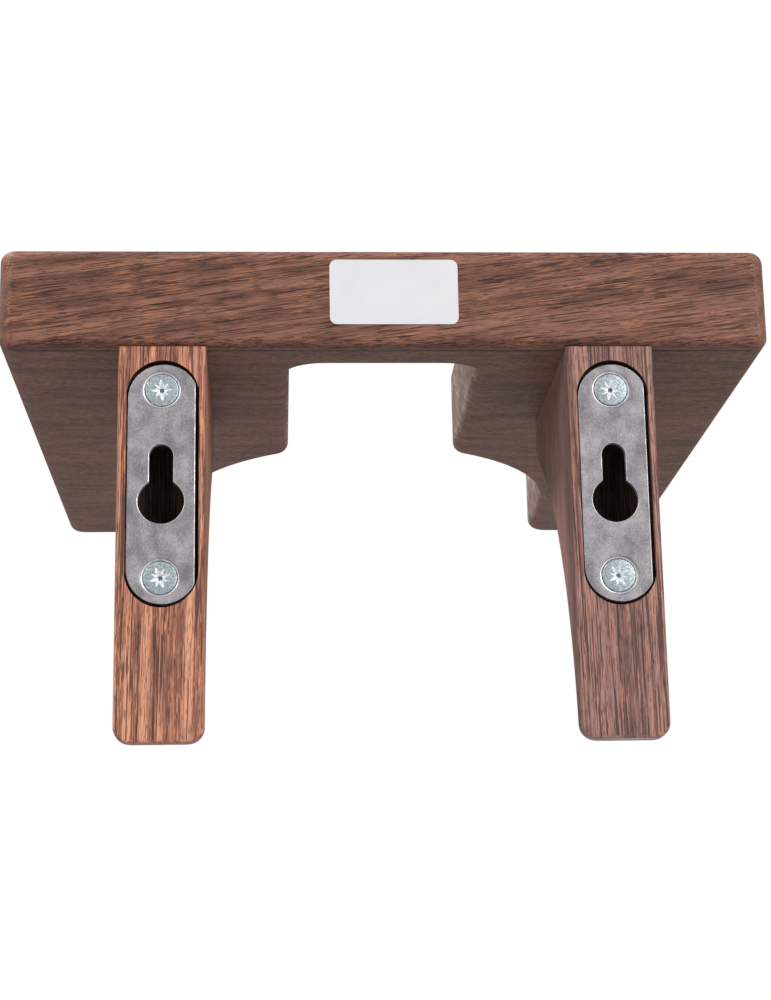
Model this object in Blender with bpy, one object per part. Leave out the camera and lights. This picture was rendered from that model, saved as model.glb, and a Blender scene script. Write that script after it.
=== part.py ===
"""Wooden wall bracket: a forked shelf on two gusset uprights, hung on two steel keyhole plates.

The room side faces -Y and the wall side +Y, with +Z up. The wall plane is Y = 0, and the origin lies
on it, halfway between the two points where the keyhole slots rest on their wall screws.
Blender units are metres, and every size below is in millimetres.
"""

import math

import bmesh
import bpy
from mathutils import Matrix, Vector

MM = 0.001

# Shelf board.
SHELF_WIDTH = 191.5
SHELF_DEPTH = 195.0
SHELF_THICKNESS = 25.5
REAR_CORNER_RADIUS = 4.0
FRONT_CORNER_RADIUS = 5.0

# The opening in the shelf: a narrow slot that starts near the wall and widens into a round mouth.
# The mouth has straight sides in front of its widest line and half an ellipse behind it.
SLOT_WIDTH = 48.0
SLOT_REAR_SETBACK = 16.5
SLOT_CORNER_RADIUS = 9.0
MOUTH_WIDTH = 113.0
MOUTH_STRAIGHT_DEPTH = 32.5
MOUTH_ROUND_DEPTH = 70.5
MOUTH_THROAT_RADIUS = 5.0
MOUTH_TIP_RADIUS = 6.5

# Uprights, under the shelf and flush with its rear edge. A side wall is the wood beside a plate recess.
UPRIGHT_SPACING = 110.5
UPRIGHT_HEIGHT = 98.0
UPRIGHT_SIDE_WALL = 1.9
GUSSET_DEPTH = 65.5
GUSSET_NOSE_HEIGHT = 10.5
GUSSET_CURVE_RADIUS = 116.0
FOOT_DEPTH = 4.6
FOOT_CORNER_RADIUS = 4.0

# Keyhole hanger plates.
PLATE_LENGTH = 60.0
PLATE_WIDTH = 16.5
PLATE_THICKNESS = 1.6
PLATE_DROP = 4.8
PLATE_SETBACK = 0.5
PLATE_SCREW_INSET = 6.5
KEYHOLE_DIAMETER = 11.2
KEYHOLE_SLOT_WIDTH = 5.8
KEYHOLE_ABOVE_LOWER_SCREW = 18.9
KEYHOLE_SLOT_RISE = 14.3
POCKET_DEPTH = 11.0

# Plate screws.
SCREW_HEAD_DIAMETER = 8.1
SCREW_SHANK_DIAMETER = 3.4
SCREW_LENGTH = 13.0
SCREW_TIP_LENGTH = 3.0
DRIVE_WIDTH = 4.4
DRIVE_SLOT_WIDTH = 1.0
DRIVE_DEPTH = 1.3

# Dowels between each upright and the shelf, set back from the gusset's nose and from the wall.
DOWEL_DIAMETER = 8.0
DOWEL_LENGTH = 30.0
DOWEL_CHAMFER = 1.0
FRONT_DOWEL_INSET = 22.0
REAR_DOWEL_INSET = 24.0

# Label on the rear edge of the shelf.
LABEL_WIDTH = 32.0
LABEL_HEIGHT = 17.0
LABEL_THICKNESS = 0.2
LABEL_CORNER_RADIUS = 1.8
LABEL_OFFSET = -2.0
LABEL_RAISE = 1.2

# Rounding of the wood's edges, and the clearances.
SHELF_EDGE_RADIUS = 3.0
UPRIGHT_EDGE_RADIUS = 0.8
JOINT_GAP = 0.3
RECESS_CLEARANCE = 0.6
POCKET_CLEARANCE = 0.6
HOLE_CLEARANCE = 0.3
CUT_THROUGH = 5.0

# How finely round shapes are divided, and the angles in degrees past which an edge is rounded or sharp.
ROUND_SIDES = 32
SMALL_ROUND_SIDES = 24
CORNER_STEPS = 5
EDGE_STEPS = 3
MOUTH_STEPS = 16
GUSSET_STEPS = 20
ROUNDED_EDGE_ANGLE = 50.0
SHARP_SHADING_ANGLE = 35.0
SAME_PLACE = 0.01

# The uprights' thickness follows from what is let into them.
RECESS_WIDTH = PLATE_WIDTH + 2 * RECESS_CLEARANCE
UPRIGHT_THICKNESS = RECESS_WIDTH + 2 * UPRIGHT_SIDE_WALL
DOWEL_HOLE_DIAMETER = DOWEL_DIAMETER + 2 * HOLE_CLEARANCE

# Heights that several pieces share, from the hang points at Z = 0.
LOWER_SCREW_BELOW_SHELF = PLATE_DROP + PLATE_LENGTH - PLATE_SCREW_INSET
KEYHOLE_BELOW_SHELF = LOWER_SCREW_BELOW_SHELF - KEYHOLE_ABOVE_LOWER_SCREW
SLOT_END_ABOVE_KEYHOLE = KEYHOLE_SLOT_RISE - KEYHOLE_SLOT_WIDTH / 2
SHELF_UNDERSIDE_Z = KEYHOLE_BELOW_SHELF - SLOT_END_ABOVE_KEYHOLE
SHELF_TOP_Z = SHELF_UNDERSIDE_Z + SHELF_THICKNESS
UPRIGHT_TOP_Z = SHELF_UNDERSIDE_Z - JOINT_GAP
UPRIGHT_BOTTOM_Z = SHELF_UNDERSIDE_Z - UPRIGHT_HEIGHT
KEYHOLE_Z = -SLOT_END_ABOVE_KEYHOLE
LOWER_SCREW_Z = KEYHOLE_Z - KEYHOLE_ABOVE_LOWER_SCREW
PLATE_BOTTOM_Z = LOWER_SCREW_Z - PLATE_SCREW_INSET
PLATE_TOP_Z = PLATE_BOTTOM_Z + PLATE_LENGTH
UPPER_SCREW_Z = PLATE_TOP_Z - PLATE_SCREW_INSET
PLATE_REAR_Y = -PLATE_SETBACK
PLATE_FRONT_Y = PLATE_REAR_Y - PLATE_THICKNESS
RECESS_FLOOR_Y = PLATE_FRONT_Y - JOINT_GAP


def clear_scene():
    """Removes the objects that the scene starts with."""
    for item in list(bpy.data.objects):
        bpy.data.objects.remove(item, do_unlink=True)


def make_material(name, colour, roughness, metallic=0.0):
    """A Principled material of one colour."""
    material = bpy.data.materials.new(name)
    material.use_nodes = True
    shader = material.node_tree.nodes["Principled BSDF"]
    shader.inputs["Base Color"].default_value = (*colour, 1.0)
    shader.inputs["Roughness"].default_value = roughness
    shader.inputs["Metallic"].default_value = metallic
    return material


def arc_points(centre, radius, start, end, steps):
    """Points along a circle's arc, from one angle to another in degrees, both ends included."""
    points = []
    for step in range(steps + 1):
        angle = math.radians(start + (end - start) * step / steps)
        points.append((centre[0] + radius * math.cos(angle), centre[1] + radius * math.sin(angle)))
    return points


def fillet_points(before, corner, after, radius, steps):
    """Points that round a polygon's corner with a tangent arc."""
    corner = Vector(corner)
    to_before = (Vector(before) - corner).normalized()
    to_after = (Vector(after) - corner).normalized()
    half_angle = to_before.angle(to_after) / 2
    centre = corner + (to_before + to_after).normalized() * radius / math.sin(half_angle)
    reach = radius / math.tan(half_angle)
    start = corner + to_before * reach - centre
    end = corner + to_after * reach - centre
    turn = start.angle_signed(end)
    return [tuple(centre + Matrix.Rotation(-turn * step / steps, 2) @ start) for step in range(steps + 1)]


def rounded_polygon(corners):
    """An outline from (point, radius) pairs, each corner rounded by its own radius."""
    outline = []
    for index, (point, radius) in enumerate(corners):
        before = corners[index - 1][0]
        after = corners[(index + 1) % len(corners)][0]
        if radius:
            outline += fillet_points(before, point, after, radius, CORNER_STEPS)
        else:
            outline.append(point)
    return outline


def placed(point, along, axis):
    """A point of a flat outline that faces X, Y or Z, at a distance along that axis."""
    across, up = point
    if axis == "X":
        return Vector((along, across, up))
    if axis == "Y":
        return Vector((across, along, up))
    return Vector((across, up, along))


def prism(name, outline, low, high, axis):
    """A closed solid: an outline extruded along X, Y or Z from low to high, in millimetres."""
    shape = bmesh.new()
    bottom = [shape.verts.new(placed(point, low, axis) * MM) for point in outline]
    face = shape.faces.new(bottom)
    extruded = bmesh.ops.extrude_face_region(shape, geom=[face])
    top = [item for item in extruded["geom"] if isinstance(item, bmesh.types.BMVert)]
    bmesh.ops.translate(shape, vec=placed((0.0, 0.0), high - low, axis) * MM, verts=top)
    bmesh.ops.recalc_face_normals(shape, faces=shape.faces)
    return object_from(name, shape)


def turned(name, profile, sides=ROUND_SIDES):
    """A closed solid of revolution about Z, from (radius, height) points that run from pole to pole."""
    shape = bmesh.new()
    points = [shape.verts.new(Vector((radius, 0.0, height)) * MM) for radius, height in profile]
    edges = [shape.edges.new(pair) for pair in zip(points, points[1:])]
    bmesh.ops.spin(
        shape,
        geom=points + edges,
        cent=(0.0, 0.0, 0.0),
        axis=(0.0, 0.0, 1.0),
        angle=2 * math.pi,
        steps=sides,
        use_merge=True,
    )
    bmesh.ops.remove_doubles(shape, verts=shape.verts, dist=1e-7)
    bmesh.ops.recalc_face_normals(shape, faces=shape.faces)
    return object_from(name, shape)


def object_from(name, shape):
    """An object in the scene from a bmesh."""
    mesh = bpy.data.meshes.new(name)
    shape.to_mesh(mesh)
    shape.free()
    item = bpy.data.objects.new(name, mesh)
    bpy.context.scene.collection.objects.link(item)
    return item


def cut(item, cutter):
    """Cuts one helper object out of another with an exact Boolean, and hides the helper."""
    cutter.hide_render = True
    cutter.display_type = "WIRE"
    boolean = item.modifiers.new("cut " + cutter.name, "BOOLEAN")
    boolean.operation = "DIFFERENCE"
    boolean.solver = "EXACT"
    boolean.object = cutter


def round_edges(item, radius, keep_sharp_above=None):
    """Rounds an object's sharp edges, except any that lie wholly above a height in millimetres."""
    shape = bmesh.new()
    shape.from_mesh(item.data)
    weight = shape.edges.layers.float.new("bevel_weight_edge")
    for edge in shape.edges:
        is_sharp = edge.calc_face_angle() > math.radians(ROUNDED_EDGE_ANGLE)
        lowest = min(corner.co.z for corner in edge.verts) / MM
        is_kept = keep_sharp_above is not None and lowest > keep_sharp_above
        edge[weight] = 1.0 if is_sharp and not is_kept else 0.0
    shape.to_mesh(item.data)
    shape.free()
    bevel = item.modifiers.new("rounded edges", "BEVEL")
    bevel.width = radius * MM
    bevel.segments = EDGE_STEPS
    bevel.limit_method = "WEIGHT"


def finish(item, material):
    """Gives an object its material and smooth shading across its shallow edges."""
    item.data.materials.append(material)
    item.data.shade_smooth()
    item.data.set_sharp_from_angle(angle=math.radians(SHARP_SHADING_ANGLE))


def circle_outline(centre, diameter):
    """A full circle as an outline."""
    return arc_points(centre, diameter / 2, 0.0, 360.0, ROUND_SIDES)[:-1]


def capsule_outline(centre_x, low, high, width):
    """A round-ended upright strip, from its lowest to its highest point."""
    radius = width / 2
    steps = ROUND_SIDES // 2
    upper = arc_points((centre_x, high - radius), radius, 0.0, 180.0, steps)
    lower = arc_points((centre_x, low + radius), radius, 180.0, 360.0, steps)
    return upper + lower


def keyhole_outline(centre_x):
    """The keyhole: a circle with a round-topped slot rising from it."""
    radius = KEYHOLE_DIAMETER / 2
    half_slot = KEYHOLE_SLOT_WIDTH / 2
    shoulder = math.degrees(math.asin(half_slot / radius))
    circle = arc_points((centre_x, KEYHOLE_Z), radius, 90.0 + shoulder, 450.0 - shoulder, ROUND_SIDES)
    slot_end = arc_points((centre_x, 0.0), half_slot, 0.0, 180.0, ROUND_SIDES // 2)
    return circle + slot_end


def mouth_points():
    """The round back of the mouth on its +X side, from its widest line to the corner of the slot."""
    half_mouth = MOUTH_WIDTH / 2
    widest_line = MOUTH_STRAIGHT_DEPTH - SHELF_DEPTH
    last = math.acos(SLOT_WIDTH / MOUTH_WIDTH)
    points = []
    for step in range(MOUTH_STEPS + 1):
        angle = last * step / MOUTH_STEPS
        points.append((half_mouth * math.cos(angle), widest_line + MOUTH_ROUND_DEPTH * math.sin(angle)))
    return points


def shelf_outline():
    """The forked board seen from above, rear edge at Y = 0 and the mouth open towards -Y."""
    half_width = SHELF_WIDTH / 2
    half_slot = SLOT_WIDTH / 2
    front = -SHELF_DEPTH
    *round_back, throat = mouth_points()
    seat = [point for point in round_back if point[0] > half_slot + MOUTH_THROAT_RADIUS]
    right_side = [
        ((half_width, 0.0), REAR_CORNER_RADIUS),
        ((half_width, front), FRONT_CORNER_RADIUS),
        ((MOUTH_WIDTH / 2, front), MOUTH_TIP_RADIUS),
    ]
    right_side += [(point, 0.0) for point in seat]
    right_side.append((throat, MOUTH_THROAT_RADIUS))
    right_side.append(((half_slot, -SLOT_REAR_SETBACK), SLOT_CORNER_RADIUS))
    left_side = [((-point[0], point[1]), radius) for point, radius in reversed(right_side)]
    return rounded_polygon(right_side + left_side)


def gusset_outline():
    """An upright seen from its side: straight at the wall, hollow towards the room."""
    nose = Vector((-GUSSET_DEPTH, UPRIGHT_TOP_Z - GUSSET_NOSE_HEIGHT))
    foot = Vector((-FOOT_DEPTH, UPRIGHT_BOTTOM_Z))
    chord = foot - nose
    outward = Vector((chord.y, -chord.x)).normalized()
    rise = math.sqrt(GUSSET_CURVE_RADIUS**2 - (chord.length / 2) ** 2)
    centre = (nose + foot) / 2 + outward * rise
    start = math.degrees(math.atan2(foot.y - centre.y, foot.x - centre.x))
    end = math.degrees(math.atan2(nose.y - centre.y, nose.x - centre.x))
    curve = arc_points(centre, GUSSET_CURVE_RADIUS, start, end, GUSSET_STEPS)
    return [(0.0, UPRIGHT_TOP_Z), (0.0, UPRIGHT_BOTTOM_Z), *curve, (-GUSSET_DEPTH, UPRIGHT_TOP_Z)]


def round_foot(item):
    """Rounds the two bottom corners of an upright, as seen from the wall."""
    shape = bmesh.new()
    shape.from_mesh(item.data)
    bottom = [
        edge
        for edge in shape.edges
        if all(abs(corner.co.z / MM - UPRIGHT_BOTTOM_Z) < SAME_PLACE for corner in edge.verts)
        and abs(edge.verts[0].co.x - edge.verts[1].co.x) < SAME_PLACE * MM
    ]
    bmesh.ops.bevel(
        shape,
        geom=bottom,
        offset=FOOT_CORNER_RADIUS * MM,
        segments=CORNER_STEPS,
        profile=0.5,
        affect="EDGES",
        clamp_overlap=False,
    )
    shape.to_mesh(item.data)
    shape.free()


def upright_x(side):
    """The centre line of the upright on one side, +1 or -1."""
    return side * UPRIGHT_SPACING / 2


def dowel_places(side):
    """The name and centre of each dowel on one side."""
    return {
        "front": (upright_x(side), FRONT_DOWEL_INSET - GUSSET_DEPTH),
        "rear": (upright_x(side), -REAR_DOWEL_INSET),
    }


def make_shelf(material):
    """The forked shelf, with blind holes for the dowels in its underside."""
    shelf = prism("forked_shelf", shelf_outline(), SHELF_UNDERSIDE_Z, SHELF_TOP_Z, "Z")
    round_edges(shelf, SHELF_EDGE_RADIUS)
    low = SHELF_UNDERSIDE_Z - CUT_THROUGH
    high = SHELF_UNDERSIDE_Z + DOWEL_LENGTH / 2 + JOINT_GAP
    for side in (1, -1):
        for place, centre in dowel_places(side).items():
            hole = circle_outline(centre, DOWEL_HOLE_DIAMETER)
            cut(shelf, prism(f"shelf_dowel_hole_{place}_{side}", hole, low, high, "Z"))
    finish(shelf, material)
    return shelf


def make_upright(hand, side, screw_holes, material):
    """One gusset upright with its plate recess, keyhole pocket, screw holes and dowel holes."""
    centre = upright_x(side)
    half = UPRIGHT_THICKNESS / 2
    upright = prism(f"{hand}_upright", gusset_outline(), centre - half, centre + half, "X")
    round_foot(upright)
    round_edges(upright, UPRIGHT_EDGE_RADIUS, keep_sharp_above=UPRIGHT_TOP_Z - UPRIGHT_EDGE_RADIUS)
    recess_outline = capsule_outline(
        centre,
        PLATE_BOTTOM_Z - RECESS_CLEARANCE,
        PLATE_TOP_Z + RECESS_CLEARANCE,
        RECESS_WIDTH,
    )
    cut(upright, prism(f"{hand}_recess", recess_outline, RECESS_FLOOR_Y, CUT_THROUGH, "Y"))
    pocket_outline = capsule_outline(
        centre,
        KEYHOLE_Z - KEYHOLE_DIAMETER / 2 - POCKET_CLEARANCE,
        KEYHOLE_SLOT_WIDTH / 2 + POCKET_CLEARANCE,
        KEYHOLE_DIAMETER + 2 * POCKET_CLEARANCE,
    )
    cut(upright, prism(f"{hand}_pocket", pocket_outline, -POCKET_DEPTH, CUT_THROUGH, "Y"))
    for screw_hole in screw_holes:
        cut(upright, screw_hole)
    low = SHELF_UNDERSIDE_Z - DOWEL_LENGTH / 2 - JOINT_GAP
    high = UPRIGHT_TOP_Z + CUT_THROUGH
    for place, point in dowel_places(side).items():
        hole = circle_outline(point, DOWEL_HOLE_DIAMETER)
        cut(upright, prism(f"{hand}_{place}_dowel_hole", hole, low, high, "Z"))
    finish(upright, material)
    return upright


def make_screw_hole(name, centre, height):
    """A cutter for one screw: countersunk at the plate's rear, then a pointed pilot hole in the wood."""
    head = SCREW_HEAD_DIAMETER / 2 + HOLE_CLEARANCE
    shank = SCREW_SHANK_DIAMETER / 2 + HOLE_CLEARANCE
    profile = [
        (0.0, CUT_THROUGH),
        (head, CUT_THROUGH),
        (head, 0.0),
        (shank, shank - head),
        (shank, SCREW_TIP_LENGTH - SCREW_LENGTH),
        (0.0, -SCREW_LENGTH - 2 * JOINT_GAP),
    ]
    cutter = turned(name, profile)
    cutter.location = Vector((centre, PLATE_REAR_Y, height)) * MM
    cutter.rotation_euler = (-math.pi / 2, 0.0, 0.0)
    return cutter


def make_plate(hand, side, screw_holes, material):
    """One steel hanger plate with its keyhole and its two countersunk holes."""
    centre = upright_x(side)
    outline = capsule_outline(centre, PLATE_BOTTOM_Z, PLATE_TOP_Z, PLATE_WIDTH)
    plate = prism(f"{hand}_hanger_plate", outline, PLATE_FRONT_Y, PLATE_REAR_Y, "Y")
    opening = prism(f"{hand}_keyhole", keyhole_outline(centre), -CUT_THROUGH, CUT_THROUGH, "Y")
    cut(plate, opening)
    for screw_hole in screw_holes:
        cut(plate, screw_hole)
    finish(plate, material)
    return plate


def make_screw(name, centre, height, material):
    """One countersunk screw with a cross recess, its axis along Y and its head at the plate's rear."""
    head = SCREW_HEAD_DIAMETER / 2
    shank = SCREW_SHANK_DIAMETER / 2
    profile = [
        (0.0, 0.0),
        (head, 0.0),
        (shank, shank - head),
        (shank, SCREW_TIP_LENGTH - SCREW_LENGTH),
        (0.0, -SCREW_LENGTH),
    ]
    screw = turned(name, profile, SMALL_ROUND_SIDES)
    half_wide = DRIVE_WIDTH / 2
    half_slot = DRIVE_SLOT_WIDTH / 2
    arms = {"flat": (half_wide, half_slot), "upright": (half_slot, half_wide)}
    for arm, (across, along) in arms.items():
        outline = [(-across, -along), (across, -along), (across, along), (-across, along)]
        cut(screw, driven_slot(f"{name}_{arm}_drive", outline, screw))
    screw.location = Vector((centre, PLATE_REAR_Y, height)) * MM
    screw.rotation_euler = (-math.pi / 2, 0.0, 0.0)
    finish(screw, material)
    return screw


def driven_slot(name, outline, screw):
    """One arm of the cross recess, carried by its screw."""
    slot = prism(name, outline, -DRIVE_DEPTH, CUT_THROUGH, "Z")
    slot.parent = screw
    return slot


def make_dowel(name, centre, material):
    """One chamfered dowel, half in the shelf and half in the upright."""
    radius = DOWEL_DIAMETER / 2
    half = DOWEL_LENGTH / 2
    profile = [
        (0.0, half),
        (radius - DOWEL_CHAMFER, half),
        (radius, half - DOWEL_CHAMFER),
        (radius, DOWEL_CHAMFER - half),
        (radius - DOWEL_CHAMFER, -half),
        (0.0, -half),
    ]
    dowel = turned(name, profile, SMALL_ROUND_SIDES)
    dowel.location = Vector((centre[0], centre[1], SHELF_UNDERSIDE_Z)) * MM
    finish(dowel, material)
    return dowel


def make_label(material):
    """The blank label, a joint gap off the shelf's rear edge."""
    middle = SHELF_UNDERSIDE_Z + SHELF_THICKNESS / 2 + LABEL_RAISE
    low = middle - LABEL_HEIGHT / 2
    high = middle + LABEL_HEIGHT / 2
    left = LABEL_OFFSET - LABEL_WIDTH / 2
    right = LABEL_OFFSET + LABEL_WIDTH / 2
    corners = [(left, low), (right, low), (right, high), (left, high)]
    outline = rounded_polygon([(corner, LABEL_CORNER_RADIUS) for corner in corners])
    label = prism("rear_label", outline, JOINT_GAP, JOINT_GAP + LABEL_THICKNESS, "Y")
    finish(label, material)
    return label


def main():
    clear_scene()
    stained_wood = make_material("dark stained wood", (0.060, 0.024, 0.013), 0.48)
    plate_steel = make_material("plain plate steel", (0.42, 0.40, 0.38), 0.42, 1.0)
    zinc_steel = make_material("zinc plated steel", (0.62, 0.62, 0.63), 0.28, 1.0)
    dowel_wood = make_material("beech dowel wood", (0.52, 0.33, 0.18), 0.6)
    label_paper = make_material("white label paper", (0.86, 0.86, 0.85), 0.55)
    make_shelf(stained_wood)
    screw_heights = {"upper": UPPER_SCREW_Z, "lower": LOWER_SCREW_Z}
    for hand, side in (("right", 1), ("left", -1)):
        screw_holes = []
        for place, height in screw_heights.items():
            make_screw(f"{hand}_{place}_plate_screw", upright_x(side), height, zinc_steel)
            screw_holes.append(make_screw_hole(f"{hand}_{place}_screw_hole", upright_x(side), height))
        make_upright(hand, side, screw_holes, stained_wood)
        make_plate(hand, side, screw_holes, plate_steel)
        for place, centre in dowel_places(side).items():
            make_dowel(f"{hand}_{place}_dowel", centre, dowel_wood)
    make_label(label_paper)


main()
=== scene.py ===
import math

import bpy
import numpy as np
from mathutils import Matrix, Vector


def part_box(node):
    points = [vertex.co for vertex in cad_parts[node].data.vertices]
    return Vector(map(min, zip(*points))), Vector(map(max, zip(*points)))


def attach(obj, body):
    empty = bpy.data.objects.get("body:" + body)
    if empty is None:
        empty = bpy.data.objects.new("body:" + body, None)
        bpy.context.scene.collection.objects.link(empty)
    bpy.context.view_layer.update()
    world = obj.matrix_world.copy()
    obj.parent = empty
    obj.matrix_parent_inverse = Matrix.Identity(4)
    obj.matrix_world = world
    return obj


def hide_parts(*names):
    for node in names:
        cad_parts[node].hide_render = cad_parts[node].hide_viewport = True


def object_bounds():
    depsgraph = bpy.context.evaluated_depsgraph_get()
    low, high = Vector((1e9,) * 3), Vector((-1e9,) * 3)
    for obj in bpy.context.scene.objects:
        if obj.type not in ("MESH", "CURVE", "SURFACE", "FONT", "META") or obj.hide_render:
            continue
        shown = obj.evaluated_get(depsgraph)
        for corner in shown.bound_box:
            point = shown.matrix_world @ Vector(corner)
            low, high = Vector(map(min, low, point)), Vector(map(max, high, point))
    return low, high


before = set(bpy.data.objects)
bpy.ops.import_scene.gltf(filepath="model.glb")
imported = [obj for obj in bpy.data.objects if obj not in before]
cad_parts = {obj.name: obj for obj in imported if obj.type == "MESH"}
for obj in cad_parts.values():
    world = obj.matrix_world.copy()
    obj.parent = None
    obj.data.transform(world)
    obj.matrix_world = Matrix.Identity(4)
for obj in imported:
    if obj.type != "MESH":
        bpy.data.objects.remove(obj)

# A wooden wall bracket: a forked shelf on two gusset uprights, hung on two keyhole plates.
# The wall side faces +Y and the room side -Y, with +Z up. Sizes are in metres.

CAD_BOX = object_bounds()
MM = 0.001

# Forked shelf. A STEP is the distance between the points of an outline.
REAR_CORNER = 4.0 * MM
FRONT_CORNER = 5.0 * MM
SLOT_WIDTH = 48.0 * MM
SLOT_SETBACK = 16.5 * MM
SLOT_CORNER = 9.0 * MM
MOUTH_WIDTH = 113.0 * MM
MOUTH_STRAIGHT = 32.5 * MM
MOUTH_DEPTH = 70.5 * MM
MOUTH_THROAT = 5.0 * MM
MOUTH_TIP = 6.5 * MM
SHELF_ROUND = 3.0 * MM
SHELF_STEP = 0.55 * MM

# Gusset uprights.
NOSE_HEIGHT = 10.5 * MM
CURVE_RADIUS = 116.0 * MM
FOOT_DEPTH = 4.6 * MM
FOOT_CORNER = 4.0 * MM
UPRIGHT_ROUND = 0.9 * MM
NOSE_ROUND = 1.5 * MM
FLAT_MARGIN = 0.7 * MM

# Hanger plates and what is let into the uprights for them.
PLATE_ARC = 8.7 * MM
PLATE_STEP = 0.3 * MM
RIM_ROUND = 0.25 * MM
BACK_ROUND = 0.1 * MM
RECESS_CLEARANCE = 0.6 * MM
RECESS_END = 0.9 * MM
RECESS_SHIFT = -0.3 * MM
RECESS_FLOOR = 0.3 * MM
# Faces that look further to the room side than this aren't inside the recess.
BACKWARD_SLOPE = -0.05
KEYHOLE_RADIUS = 5.6 * MM
KEYHOLE_SLOT = 2.9 * MM
KEYHOLE_DROP = 11.4 * MM
KEYHOLE_STEP = 0.25 * MM
POCKET_DEPTH = 11.0 * MM
POCKET_CLEARANCE = 0.6 * MM
DISH_RADIUS = 5.1 * MM
DISH_DEPTH = 0.26 * MM
SEAT_STEP = 0.12 * MM
LIP_WIDTH = 0.22 * MM
# How squarely towards the wall the faces of the burnished rims and lips with the painted highlight look.
RIM_FACES = (0.02, 0.93)
LIP_FACES = 0.5

# Screws.
HEAD_RADIUS = 4.05 * MM
HEAD_CLEARANCE = 0.3 * MM
HEAD_CROWN = 0.18 * MM
HEAD_EDGE = 0.2 * MM
EDGE_DROP = 0.17 * MM
CONE_DROP = 0.42 * MM
CONE_SLOPE = 0.98
SHANK_RADIUS = 1.7 * MM
CORE_RADIUS = 1.2 * MM
SCREW_LENGTH = 13.0 * MM
SCREW_TIP = 3.0 * MM
THREAD_PITCH = 1.4 * MM
THREAD_START = 0.9 * MM
THREAD_FADE = 1.0 * MM
# Direction in degrees, reach, half width and depth of the driver recess's long and short rays.
STAR_RAYS = ((0.0, 3.1 * MM, 0.95 * MM, 1.0 * MM), (45.0, 2.9 * MM, 0.65 * MM, 0.5 * MM))
WELL_RADIUS = 0.55 * MM
WELL_DEPTH = 1.6 * MM
WELL_EDGE = 0.25 * MM
# The flanks with the painted highlight end this far inside the head's rim and at this share of the well's
# depth.
FLANK_MARGIN = 0.9 * MM
FLANK_SHARE = 0.55
# How far each screw has been turned in, in degrees.
SCREW_TURNS = {
    "right_upper_plate_screw": 4.0,
    "right_lower_plate_screw": 21.0,
    "left_upper_plate_screw": -12.0,
    "left_lower_plate_screw": 33.0,
}

# Dowels.
DOWEL_RADIUS = 4.0 * MM
DOWEL_CLEARANCE = 0.3 * MM
DOWEL_CHAMFER = 1.0 * MM
FLUTE_DEPTH = 0.28 * MM
FLUTES = 18

# Label.
LABEL_CORNER = 1.8 * MM
LABEL_THICKNESS = 0.15 * MM
LABEL_STANDOFF = 0.03 * MM
LABEL_STEP = 0.4 * MM
LABEL_BACK_ROUND = 0.02 * MM
LABEL_FACE_ROUND = 0.05 * MM

SHARP_ANGLE = math.radians(32.0)
# How far a helper solid runs out past what it cuts, and two small allowances.
BEYOND = 4.0 * MM
NARROW = 0.05 * MM
TOUCH = 0.1 * MM


# ---------------------------------------------------------------- shapes

def arc(centre, radius, start, end, steps):
    """Points of a circle's arc: centre + radius (cos a, sin a), as a runs from start to end in degrees."""
    angle = np.radians(np.linspace(start, end, steps + 1))
    return np.asarray(centre) + radius * np.column_stack((np.cos(angle), np.sin(angle)))


def even_loop(points, spacing):
    """A closed loop through the points, cut into equal steps of about the given length."""
    closed = np.vstack((points, points[:1]))
    run = np.concatenate(([0.0], np.cumsum(np.linalg.norm(np.diff(closed, axis=0), axis=1))))
    at = np.linspace(0.0, run[-1], int(round(run[-1] / spacing)), endpoint=False)
    return np.column_stack([np.interp(at, run, closed[:, axis]) for axis in (0, 1)])


def loop_normals(loop):
    """Outward normals of a counterclockwise loop: its direction at each point, turned clockwise."""
    along = np.roll(loop, -1, axis=0) - np.roll(loop, 1, axis=0)
    outward = np.column_stack((along[:, 1], -along[:, 0]))
    return outward / np.linalg.norm(outward, axis=1, keepdims=True)


def quads(rows, columns):
    """The faces of a grid that closes on itself sideways, as (row, column) neighbours in turn."""
    row, column = np.meshgrid(np.arange(rows - 1), np.arange(columns), indexing="ij")
    beside = (column + 1) % columns
    corners = (row * columns + column, row * columns + beside)
    above = ((row + 1) * columns + beside, (row + 1) * columns + column)
    return np.stack(corners + above, axis=-1).reshape(-1, 4)


def piece_from(name, points, faces):
    """An object whose mesh holds the points and faces, shaded smooth but for its sharp edges."""
    mesh = bpy.data.meshes.new(name)
    mesh.from_pydata(points.tolist(), [], faces)
    mesh.update()
    item = bpy.data.objects.new(name, mesh)
    bpy.context.scene.collection.objects.link(item)
    shade(item)
    return item


def shade(item):
    """Smooth shading, with every edge that turns by more than SHARP_ANGLE left sharp."""
    item.data.shade_smooth()
    item.data.set_sharp_from_angle(angle=SHARP_ANGLE)


def carried(name, loop, insets, levels, axis):
    """A closed solid: a profile carried round a loop.

    Row i is the loop drawn in along its normals by insets[i], at levels[i] along the axis.
    The first and the last row are closed by flat faces.
    """
    insets = np.asarray(insets, float)
    levels = np.asarray(levels, float)
    flat = loop[None] - loop_normals(loop)[None] * insets[:, None, None]
    level = np.broadcast_to(levels[:, None], flat.shape[:2])
    across, up = flat[..., 0], flat[..., 1]
    if axis == "Z":
        points = np.stack((across, up, level), axis=-1)
    else:
        points = np.stack((across, level, up), axis=-1)
    rows, columns = level.shape
    faces = quads(rows, columns).tolist()
    ring = np.arange(columns)
    faces.append(ring[::-1].tolist())
    faces.append((ring + (rows - 1) * columns).tolist())
    if axis == "Y":
        faces = [face[::-1] for face in faces]
    return piece_from(name, points.reshape(-1, 3), faces)


def rounding(radius, steps):
    """Insets and drops along a quarter circle, from the flat face out to the wall."""
    angle = np.linspace(0.0, math.pi / 2, steps + 1)
    return radius * (1.0 - np.sin(angle)), radius * (1.0 - np.cos(angle))


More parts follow.
